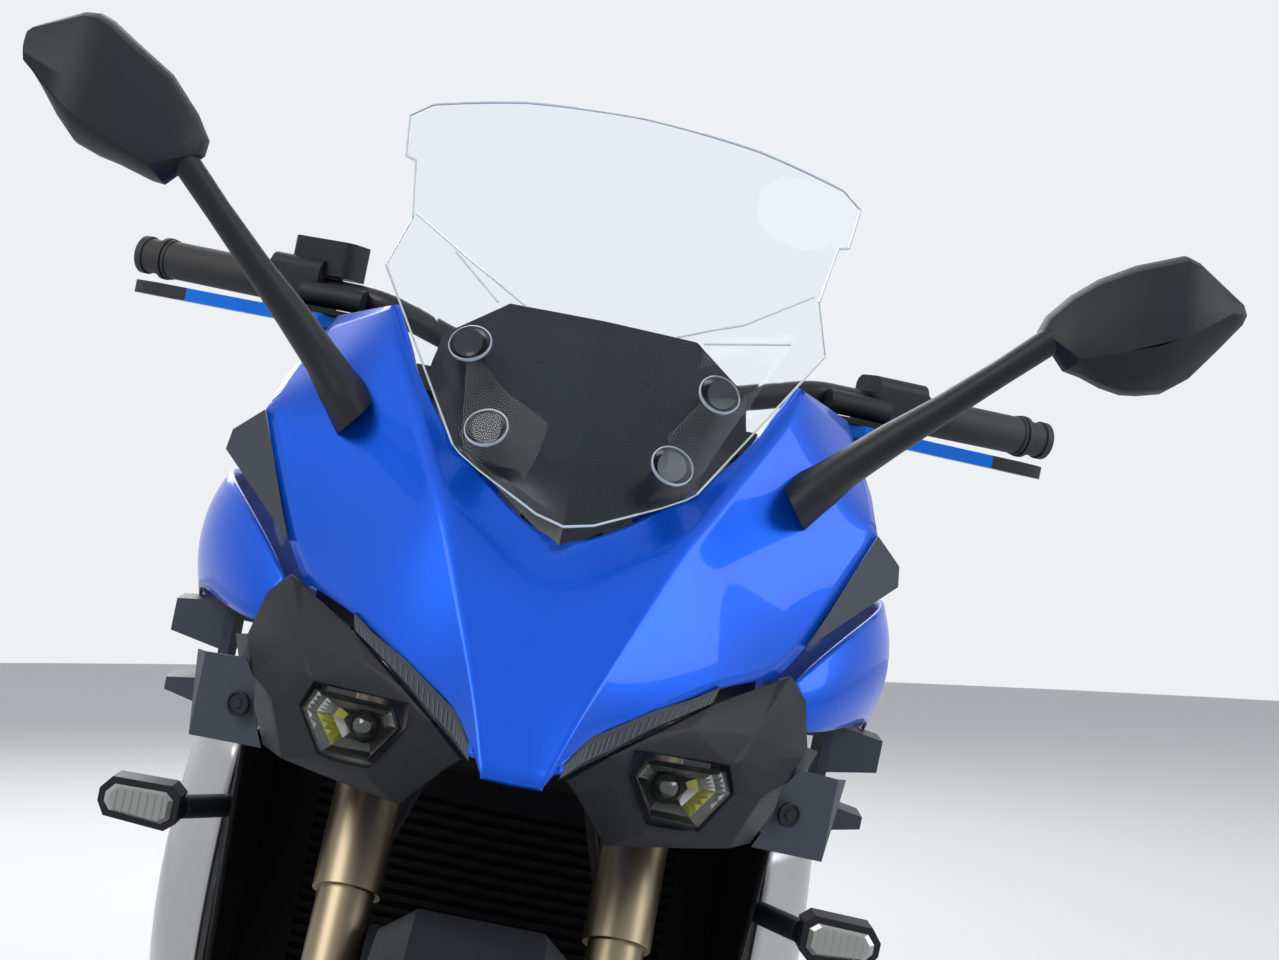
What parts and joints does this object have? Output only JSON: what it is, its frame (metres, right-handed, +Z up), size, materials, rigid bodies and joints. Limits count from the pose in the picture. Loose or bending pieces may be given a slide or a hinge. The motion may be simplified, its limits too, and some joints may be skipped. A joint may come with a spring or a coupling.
{
  "type": "sport touring motorcycle",
  "caption": "Faired sport touring motorcycle parked on its side stand, with turning steering and wheels, folding side stand and hinged fuel cap.",
  "frame": {"origin": "on the floor under the middle of the machine's box", "axes": "+Y to the rear along the machine, +X to the rider's left, +Z up; the machine leans 10 degrees to +X on its side stand"},
  "size_m": [0.9336, 2.1391, 1.2559],
  "materials": {
    "blue_paint": "deep gloss metallic blue",
    "black_satin": "satin black coating",
    "matte_black": "textured matte black",
    "dark_gloss": "gloss black",
    "silver_grey": "satin silver grey",
    "cast_alloy": "cast, satin",
    "gold_alloy": "champagne gold anodised",
    "steel": "brushed",
    "iron": "machine finished",
    "rubber": "moulded",
    "tyre": "road tyre",
    "clear": "clear",
    "red_lens": "red translucent",
    "mirror": "silvered",
    "seat_cover": "grained synthetic cover",
    "blue_alloy": "blue anodised"
  },
  "bodies": {
    "machine": {"chain": "steel", "main_frame": "black_satin", "engine": "iron", "radiator": "matte_black", "exhaust_headers": "steel", "muffler": "steel", "swingarm": "cast_alloy", "rear_shock": "black_satin", "rear_hugger": "matte_black", "rear_caliper": "black_satin", "subframe": "black_satin", "fuel_tank": "blue_paint", "rider_seat": "seat_cover", "pillion_seat": "seat_cover", "tail_cowl": "blue_paint", "tail_lamp": "red_lens", "grab_rails": "black_satin", "plate_bracket": "matte_black", "upper_cowl": "blue_paint", "windscreen": "clear", "cowl_stay": "dark_gloss", "dash": "dark_gloss", "lamp_cowls": "matte_black", "headlamps": "clear", "position_lamps": "dark_gloss", "side_cowls": "blue_paint", "lower_cowls": "silver_grey", "inner_cowls": "matte_black", "side_fins": "matte_black", "turn_signals": "matte_black", "mirrors": "matte_black", "mirror_glass": "mirror", "foot_controls": "cast_alloy"},
    "steering": {"fork_legs": "gold_alloy", "front_axle": "steel", "yokes": "black_satin", "handlebar": "black_satin", "grips": "rubber", "switchgear": "matte_black", "levers": "blue_alloy", "front_mudguard": "matte_black", "front_calipers": "black_satin", "brake_hoses": "rubber"},
    "front_wheel": {"front_tyre": "tyre", "front_rim": "black_satin", "front_discs": "steel"},
    "rear_wheel": {"rear_tyre": "tyre", "rear_rim": "black_satin", "rear_disc": "steel", "rear_sprocket": "steel"},
    "side_stand": {"side_stand": "black_satin"},
    "fuel_cap": {"fuel_cap": "black_satin"}
  },
  "joints": [
    {"name": "steering_turn", "type": "hinge", "parent": "machine", "child": "steering", "pos_m": [-0.15303, -0.73723, 0.28191], "axis": [0.1574, 0.4226, 0.8925], "range_deg": [-31, 31]},
    {"name": "front_wheel_spin", "type": "hinge", "parent": "steering", "child": "front_wheel", "pos_m": [-0.15038, -0.77, 0.29696], "axis": [0.9848, 0, -0.1736], "continuous": true},
    {"name": "rear_wheel_spin", "type": "hinge", "parent": "machine", "child": "rear_wheel", "pos_m": [-0.14847, 0.69, 0.30779], "axis": [0.9848, 0, -0.1736], "continuous": true},
    {"name": "side_stand_fold", "type": "hinge", "parent": "machine", "child": "side_stand", "pos_m": [-0.00138, 0.03, 0.2321], "axis": [0.9587, -0.1333, 0.2513], "range_deg": [0, 100]},
    {"name": "fuel_cap_lid", "type": "hinge", "parent": "machine", "child": "fuel_cap", "pos_m": [-0.02912, -0.209, 0.98465], "axis": [0.9848, 0, -0.1736], "range_deg": [0, 110]}
  ]
}
